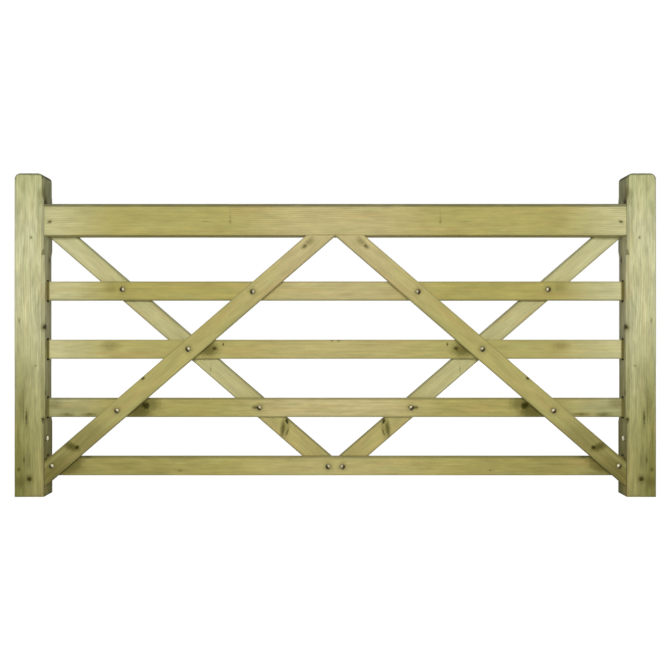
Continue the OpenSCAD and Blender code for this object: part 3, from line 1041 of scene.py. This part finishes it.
class Nodes:
    """Short ways to add and wire shader nodes in one tree."""

    def __init__(self, tree):
        self.tree = tree

    def add(self, kind, *values, named=None, **settings):
        """A node with its settings made and its inputs fed, in order or by name."""
        node = self.tree.nodes.new("ShaderNode" + kind)
        for name, value in settings.items():
            setattr(node, name, value)
        for key, value in [*enumerate(values), *(named or {}).items()]:
            self.feed(node.inputs[key], value)
        return node

    def feed(self, socket, value):
        if isinstance(value, bpy.types.NodeSocket):
            self.tree.links.new(value, socket)
        else:
            socket.default_value = value

    def math(self, operation, *values, clamp=False):
        return self.add("Math", *values, operation=operation, use_clamp=clamp).outputs[0]

    def times(self, *values):
        return self.math("MULTIPLY", *values)

    def plus(self, *values, clamp=False):
        return self.math("ADD", *values, clamp=clamp)

    def mad(self, *values, clamp=False):
        """The first value times the second, plus the third."""
        return self.math("MULTIPLY_ADD", *values, clamp=clamp)

    def vector(self, operation, *values):
        outputs = self.add("VectorMath", *values, operation=operation).outputs
        return outputs["Value" if operation in ("DOT_PRODUCT", "LENGTH") else "Vector"]

    def ramp(self, *values):
        """Eases a value from between two limits to between 0 and 1, or two others."""
        node = self.add("MapRange", *values, interpolation_type="SMOOTHSTEP")
        return node.outputs["Result"]

    def noise(self, place, scale, detail=3.0, roughness=0.55):
        spread = self.vector("MULTIPLY", place, scale)
        named = {"Scale": 1.0, "Detail": detail, "Roughness": roughness}
        return self.add("TexNoise", spread, named=named).outputs["Fac"]

    def mix(self, factor, first, second, blend="MIX"):
        named = {0: factor, 6: first, 7: second}
        return self.add("Mix", named=named, data_type="RGBA", blend_type=blend).outputs[2]

    def split(self, vector):
        return self.add("SeparateXYZ", vector).outputs

    def join(self, *values):
        return self.add("CombineXYZ", *values).outputs[0]

    def place(self):
        return self.add("TexCoord").outputs["Object"]

    def attribute(self, name, output="Fac"):
        return self.add("Attribute", attribute_name=name).outputs[output]

    def bump(self, height, size):
        named = {"Distance": size[0], "Strength": size[1], "Height": height}
        return self.add("Bump", named=named).outputs["Normal"]

    def group(self, name, **values):
        """The outputs of one of the groups below, with its inputs fed."""
        return self.add("Group", named=values, node_tree=GROUPS[name]).outputs


def new_group(name, vectors, values, **made):
    """A node group with its helper, and its input and output sockets."""
    group = bpy.data.node_groups.new(name, "ShaderNodeTree")
    sockets = [(title, "INPUT", "Vector") for title in vectors.split()]
    sockets += [(title, "INPUT", "Float") for title in values.split()]
    sockets += [(title, "OUTPUT", kind) for title, kind in made.items()]
    for title, way, kind in sockets:
        group.interface.new_socket(title, in_out=way, socket_type="NodeSocket" + kind)
    given, out = (group.nodes.new("NodeGroup" + end) for end in ("Input", "Output"))
    return group, Nodes(group), given.outputs, out.inputs


def knot_group():
    """Core, halo and swirl of one knot, or of the stain and painted contact shade round a head,
    from its scaled directions.
    """
    group, n, given, made = new_group(
        "knot", "Place Centre Long Short Deep", "Core Halo Wobble", Marks="Vector"
    )
    away = n.vector("SUBTRACT", given["Place"], given["Centre"])
    long = n.vector("DOT_PRODUCT", away, given["Long"])
    short = n.vector("DOT_PRODUCT", away, given["Short"])
    deep = n.math("ABSOLUTE", n.vector("DOT_PRODUCT", away, given["Deep"]))
    reach = n.plus(n.vector("LENGTH", n.join(long, short, 0.0)), given["Wobble"])
    near = n.ramp(deep, 1.0, 0.6)
    core = n.times(n.ramp(reach, 1.25, 0.45), n.times(given["Core"], near))
    halo = n.times(n.ramp(reach, 2.6, 0.7), n.times(given["Halo"], near))
    swirl = n.times(n.ramp(reach, 3.5, 0.6), n.plus(core, halo))
    n.feed(made["Marks"], n.join(core, halo, swirl))
    return group


def wood_group():
    """Colour, roughness and height of treated pine from places along its grain."""
    group, n, given, made = new_group(
        "treated_pine", "Grain Half Seed Pith Marks",
        "Ring Arris End Side Ends Mid Pale Green Damp Joint Mottle Edge Reach",
        Colour="Color", Roughness="Float", Height="Float",
    )
    grain, half = given["Grain"], given["Half"]
    seeded = n.vector("ADD", grain, given["Seed"])
    core, halo, swirl = n.split(given["Marks"])
    x, y, z = n.split(half)

    # Growth rings around a pith line that wanders along the board
    wander = n.noise(seeded, (1.1, 4, 4), 2.0)
    shift = n.mad(wander, 0.03, -0.015)
    bent = n.vector("ADD", n.vector("SUBTRACT", grain, given["Pith"]), n.join(0.0, shift, shift))
    radius = n.vector("LENGTH", n.vector("MULTIPLY", bent, (0.02, 1.0, 1.0)))
    rings = n.math("DIVIDE", radius, given["Ring"])
    rings = n.plus(rings, n.times(swirl, 2.0))
    phase = n.math("FRACT", rings)
    late = n.times(n.ramp(phase, 0.35, 0.9), n.ramp(phase, 1.0, 0.93))

    # Streaks, fibres and cloudy patches along the grain
    broad = n.noise(seeded, (0.9, 30, 30))
    streak = n.noise(seeded, (3, 130, 130), 4.0, 0.6)
    cloud = n.noise(seeded, (15, 110, 110), roughness=0.6)
    patch = n.noise(seeded, (9, 34, 34), 2.0)
    fibre = n.noise(seeded, (16, 900, 900), roughness=0.6)
    green = n.noise(seeded, (7, 42, 42))
    warm = n.noise(seeded, (4, 26, 26), 2.0)

    # Pale towards the stiles and the middle; painted shade, darker and greener, towards the feet
    # and the outer lower ends
    ends = n.times(n.ramp(x, 0.80, 1.08), given["Ends"])
    ends = n.times(ends, n.ramp(z, 0.08, 0.80, 0.30, 1.0))
    pale = n.times(n.ramp(x, 0.15, 0.40), given["Pale"])
    mid = n.times(n.ramp(x, 0.45, 0.12), given["Mid"])
    pale_end = n.mix(given["Green"], PALE_END, PALE_GREEN)
    colour = n.mix(n.plus(ends, pale, clamp=True), OLIVE, pale_end)
    colour = n.mix(mid, colour, PALE_MID)
    on_stile = n.ramp(x, 1.086, 1.094)
    # Painted shade: darker towards the feet, and on the other boards towards their outer lower ends
    outwards = n.plus(n.ramp(x, 0.30, 0.85, 0.0, 0.40), n.ramp(x, 0.88, 1.06, 0.0, 0.52))
    rail_foot_shade = n.times(outwards, n.ramp(z, 0.50, 0.04))
    low = n.mad(z, -1.33, 0.96, clamp=True)
    stile_foot_shade = n.times(low, n.ramp(x, 1.10, 1.19, 0.54, 1.15))
    damp = n.mad(on_stile, n.math("SUBTRACT", stile_foot_shade, rail_foot_shade), rail_foot_shade)
    damp = n.times(damp, n.times(given["Damp"], n.ramp(broad, 0.30, 0.70, 0.75, 1.20)))
    colour = n.mix(n.math("MINIMUM", damp, 1.0), colour, n.mix(given["Green"], FOOT_SHADE, FOOT_SHADE_GREEN))
    horn = n.times(n.ramp(z, 1.00, 1.20, 0.0, 0.45), on_stile)
    colour = n.mix(n.mad(n.ramp(green, 0.48, 0.72), 0.28, horn, clamp=True), colour, GREEN)
    colour = n.mix(n.ramp(warm, 0.52, 0.76, 0.0, 0.30), colour, WARM)

    # Grain in the colour
    colour = n.mix(n.times(late, n.ramp(broad, 0.3, 0.7, 0.14, 0.44)), colour, LATEWOOD)
    shade = 0.0
    for layer, share in ((streak, 0.32), (cloud, 0.42), (patch, 0.40), (broad, 0.16)):
        shade = n.plus(shade, n.mad(layer, share, -share / 2))
    shade = n.mad(shade, given["Mottle"], n.mad(fibre, 0.10, 0.96))
    colour = n.mix(1.0, colour, n.join(shade, shade, shade), "MULTIPLY")

    # End grain, painted shade on a stile's sides and round shoulders, painted shadow where a rail
    # enters a stile, knots with the stain and painted contact shade round heads, and arrises
    # darkened partly by stain and partly by painted shade
    # Painted shade on a stile's sides, stronger towards the back; at the horn the front of them
    # darkens too, as stain
    front = n.ramp(z, 1.06, 1.10, SIDE_SHADE_FRONT, SIDE_HORN)
    side = n.times(given["Side"], n.ramp(y, -0.030, 0.035, front, SIDE_SHADE_BACK))
    end = n.math("MAXIMUM", n.math("MINIMUM", given["End"], 1.0), side)
    # Sawn end grain, darkest on a stile's round shoulders, where the darkness is partly painted
    # shade
    sawn = n.mix(n.times(late, 0.8), SAWN_EARLY, SAWN_LATE)
    sawn = n.mix(n.ramp(given["End"], 1.0, 1.9), END_GRAIN_AND_SHADE, sawn)
    colour = n.mix(n.times(end, 0.9), colour, sawn)
    # Painted shadow of the stile across a rail's end, where it enters the stile
    joint = n.times(n.ramp(x, 1.0775, 1.0825), given["Joint"])
    colour = n.mix(joint, colour, JOINT_SHADOW)
    colour = n.mix(n.math("MINIMUM", halo, 0.85), colour, KNOT_HALO)
    colour = n.mix(n.math("MINIMUM", core, 0.97), colour, KNOT_CORE)
    # Arrises darkened partly by stain and partly by painted shade, each edge by its own amount
    solid = n.times(given["Reach"], ARRIS_SOLID)
    edge = n.times(n.ramp(given["Arris"], given["Reach"], solid), given["Edge"])
    # Along the top arrises of a stile: partly stain, partly painted shade
    top_arris_stain_and_shade = n.times(n.ramp(given["Arris"], 0.0085, 0.0035), n.ramp(z, 1.180, 1.192, 0.0, 0.90))
    edge = n.math("MAXIMUM", edge, top_arris_stain_and_shade)
    colour = n.mix(n.times(edge, n.ramp(cloud, 0.25, 0.6, 0.65, 1.0)), colour, ARRIS_STAIN_AND_SHADE)
    n.feed(made["Colour"], colour)

    rough = n.mad(streak, 0.22, 0.62)
    rough = n.math("SUBTRACT", rough, n.times(core, 0.12))
    n.feed(made["Roughness"], n.plus(rough, n.times(end, 0.12)))
    height = n.plus(n.times(late, 0.35), n.times(fibre, 0.8))
    height = n.plus(height, n.times(streak, 0.5))
    n.feed(made["Height"], n.plus(height, n.times(core, 0.6)))
    return group


GROUPS = {"knot": knot_group(), "wood": wood_group()}


def cleared(owner, output):
    """A material's or world's nodes, emptied, and the socket of its surface."""
    owner.use_nodes = True
    owner.node_tree.nodes.clear()
    n = Nodes(owner.node_tree)
    return n, n.add(output).inputs["Surface"]


def new_material(name):
    material = bpy.data.materials.new(name)
    n, surface = cleared(material, "OutputMaterial")
    shader = n.add("BsdfPrincipled")
    n.feed(surface, shader.outputs["BSDF"])
    return material, n, shader.inputs


def coat(n, shader, colour, rough, bump, gloss):
    """Feeds what every material of the gate has to its shader."""
    n.feed(shader["Base Color"], colour)
    n.feed(shader["Roughness"], rough)
    n.feed(shader["Normal"], bump)
    shader["Specular IOR Level"].default_value = gloss


def knot_inputs(board, knot):
    """What a knot's group needs, in places folded onto one half."""
    if knot.face == "inner":
        spot = on_inner_face(knot.px, knot.py)
        long, short, deep = Vector((0, 0, 1)), Vector((0, 1, 0)), Vector((1, 0, 0))
    else:
        side = 1 if knot.face == "back" else -1
        spot = on_photo(knot.px, knot.py, board.face_y(side))
        long = Vector(board.axes[0])
        if knot.angle is not None:
            turn = math.radians(knot.angle)
            long = Vector((math.cos(turn), 0, math.sin(turn)))
        long = Vector((-long.x, 0, long.z))
        short, deep = Vector((-long.z, 0, long.x)), Vector((0, 1, 0))
    return {
        "Centre": (abs(spot.x), spot.y, spot.z), "Long": long / (knot.radius * knot.stretch),
        "Short": short / knot.radius, "Deep": deep / KNOT_DEEP,
        "Core": knot.core, "Halo": knot.halo,
    }


def stain_and_shade_inputs(board):
    """The same for the stain and painted contact shade round heads and washers on the left half."""
    found = []
    for along, across, radius, side in pressed_spots(board):
        place = board.origin + np.array((along, across, side * board.half_t)) @ board.axes
        if place[0] <= 0:
            scale = 1 / (radius * STAIN_SHADE_REACH)
            found.append({
                "Centre": (-place[0], place[1], place[2]), "Long": (scale, 0, 0),
                "Short": (0, 0, scale), "Deep": (0, 1 / STAIN_SHADE_DEEP, 0),
                "Core": STAIN_SHADE_CORE, "Halo": STAIN_SHADE_HALO,
            })
    return found


def timber_material(board):
    """Treated pine with one board's own grain, knots, and the stain and painted contact shade round
    its bolts.
    """
    spec = board.spec
    material, n, shader = new_material(board.node + "_pine")
    x, y, z = n.split(n.place())
    half = n.join(n.math("ABSOLUTE", x), y, z)
    ragged = n.noise(half, (130, 130, 130), 2.0)
    wobble = n.mad(ragged, WOBBLE, -WOBBLE / 2)
    marks = None
    for inputs in [knot_inputs(board, knot) for knot in spec.knots] + stain_and_shade_inputs(board):
        one = n.group("knot", Place=half, Wobble=wobble, **inputs)["Marks"]
        marks = one if marks is None else n.vector("MAXIMUM", marks, one)
    grain = n.attribute("grain_pos", "Vector")
    on_upper = n.ramp(n.split(grain)[1], -0.001, 0.001)
    (upper, upper_reach), (lower, lower_reach) = spec.upper, spec.lower
    plain = ("ring", "ends", "mid", "pale", "green", "damp", "joint", "mottle")
    wood = n.group(
        "wood", Grain=grain, Half=half, Marks=marks, Pith=(0, *spec.pith),
        Seed=(spec.seed, spec.seed * 1.7, spec.seed * 2.3),
        Arris=n.attribute("arris"), End=n.attribute("end_grain"), Side=n.attribute("side_shade"),
        Edge=n.mad(on_upper, upper - lower, lower),
        Reach=n.mad(on_upper, upper_reach - lower_reach, lower_reach),
        **{title.capitalize(): getattr(spec, title) for title in plain},
    )
    bump = n.bump(wood["Height"], WOOD_BUMP)
    coat(n, shader, wood["Colour"], wood["Roughness"], bump, WOOD_GLOSS)
    return material


def zinc_material(name, clean, dull):
    """Zinc plate: fine spangle, uneven sheen, and darkening at the rims and on one side of each
    head, partly soiling and partly painted shade.
    """
    material, n, shader = new_material(name)
    place = n.place()
    spangle = n.add("TexVoronoi", place, named={"Scale": SPANGLE_SCALE})
    cloud = n.noise(place, (190, 190, 190))
    # Soiling, and on bolt heads painted shade: dark rims and a dark side
    grime_and_shade = n.times(n.attribute("grime_and_shade"), n.ramp(cloud, 0.3, 0.6, 0.80, 1.0))
    colour = n.mix(n.ramp(cloud, 0.35, 0.7), clean, dull)
    colour = n.mix(n.times(n.split(spangle.outputs["Color"])[0], 0.15), colour, dull)
    colour = n.mix(n.times(grime_and_shade, 0.95), colour, GRIME_AND_SHADE)
    n.feed(shader["Metallic"], n.mad(grime_and_shade, -0.75, 0.85))
    rough = n.plus(n.mad(cloud, 0.22, 0.34), n.times(grime_and_shade, 0.3))
    bump = n.bump(n.plus(cloud, spangle.outputs["Distance"]), ZINC_BUMP)
    coat(n, shader, colour, rough, bump, ZINC_GLOSS)
    return material


def peg_material():
    """Hardwood pegs: end grain rings, fine pores and a bruised, stained edge."""
    material, n, shader = new_material("peg_hardwood")
    place = n.place()
    rings = n.noise(place, (260, 30, 520))
    pores = n.noise(place, (2400, 200, 2400), 2.0)
    colour = n.mix(n.ramp(rings, 0.35, 0.65), PEG_HEART, PEG_EDGE)
    colour = n.mix(n.ramp(pores, 0.55, 0.72, 0.0, 0.6), colour, KNOT_CORE)
    colour = n.mix(n.times(n.attribute("grime_and_shade"), 0.75), colour, KNOT_CORE)
    bump = n.bump(n.plus(rings, pores), PEG_BUMP)
    coat(n, shader, colour, n.mad(pores, 0.25, 0.55), bump, WOOD_GLOSS)
    return material


# Stage

AMBIENT = 0.25
FRONT_POWER = 1120.0
BACK_POWER = 560.0
LAMP_PLACE = Vector((0, -12.0, 3.4))
LAMP_SIZE = (9.0, 3.6)
LAMP_AIM = Vector((0, 0, 0.55))
FLOOR_HALF = 14.0
FLOOR_GLOW = 0.95
FLOOR_SHADE = srgb(118, 118, 118)
FLOOR_BOUNCE = srgb(226, 226, 224)
WHITE = (1.0, 1.0, 1.0, 1.0)


def seen_directly(n):
    """1 for rays from the camera or a mirror, which see the white background."""
    path = n.add("LightPath").outputs
    return n.math("MAXIMUM", path["Is Camera Ray"], path["Is Glossy Ray"])


def world():
    made = bpy.data.worlds.new("studio")
    n, surface = cleared(made, "OutputWorld")
    strength = n.mad(seen_directly(n), 1 - AMBIENT, AMBIENT)
    n.feed(surface, n.add("Background", WHITE, strength).outputs[0])
    bpy.context.scene.world = made


def floor():
    """A white floor that keeps a faint shadow of the gate."""
    half = FLOOR_HALF
    corners = [(-half, -half, 0), (half, -half, 0), (half, half, 0), (-half, half, 0)]
    obj = add_object("floor", corners, [(0, 1, 2, 3)])
    material = bpy.data.materials.new("floor_white")
    n, surface = cleared(material, "OutputMaterial")
    glow = n.add("Emission", WHITE, FLOOR_GLOW)
    shade, bounce = (n.add("BsdfDiffuse", tone) for tone in (FLOOR_SHADE, FLOOR_BOUNCE))
    both = n.add("AddShader", glow.outputs[0], shade.outputs[0])
    pick = n.add("MixShader", seen_directly(n), bounce.outputs[0], both.outputs[0])
    n.feed(surface, pick.outputs[0])
    obj.data.materials.append(material)
    obj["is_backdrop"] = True


def lamps():
    """A wide, soft lamp in front that lights both halves alike, a weaker one behind."""
    for name, power, way in (("front_lamp", FRONT_POWER, 1), ("back_lamp", BACK_POWER, -1)):
        data = bpy.data.lights.new(name, "AREA")
        data.shape = "RECTANGLE"
        data.size, data.size_y = LAMP_SIZE
        data.energy = power
        obj = link(name, data)
        obj.location = (LAMP_PLACE.x, way * LAMP_PLACE.y, LAMP_PLACE.z)
        obj.rotation_euler = (LAMP_AIM - obj.location).to_track_quat("-Z", "Y").to_euler()
        obj.visible_camera = False


def camera():
    data = bpy.data.cameras.new("camera")
    data.sensor_width = SENSOR_MM
    data.lens = SENSOR_MM * EYE_DISTANCE / (PIXEL * PHOTO_SIDE)
    data.shift_x = (PHOTO_SIDE / 2 - VANISHING_PX.x) / PHOTO_SIDE
    data.shift_y = (VANISHING_PX.y - PHOTO_SIDE / 2) / PHOTO_SIDE
    obj = link("camera", data)
    obj.location = EYE
    obj.rotation_euler = (math.radians(90), 0, 0)
    bpy.context.scene.camera = obj


bpy.context.scene.view_settings.view_transform = "Standard"
camera()
world()
floor()
lamps()
stiles()
top_rail()
lower_rails()
braces()
fasteners()

boxes = {"cad": cad_box, "visual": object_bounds()}
{name: [list(corner) for corner in box] for name, box in boxes.items()}
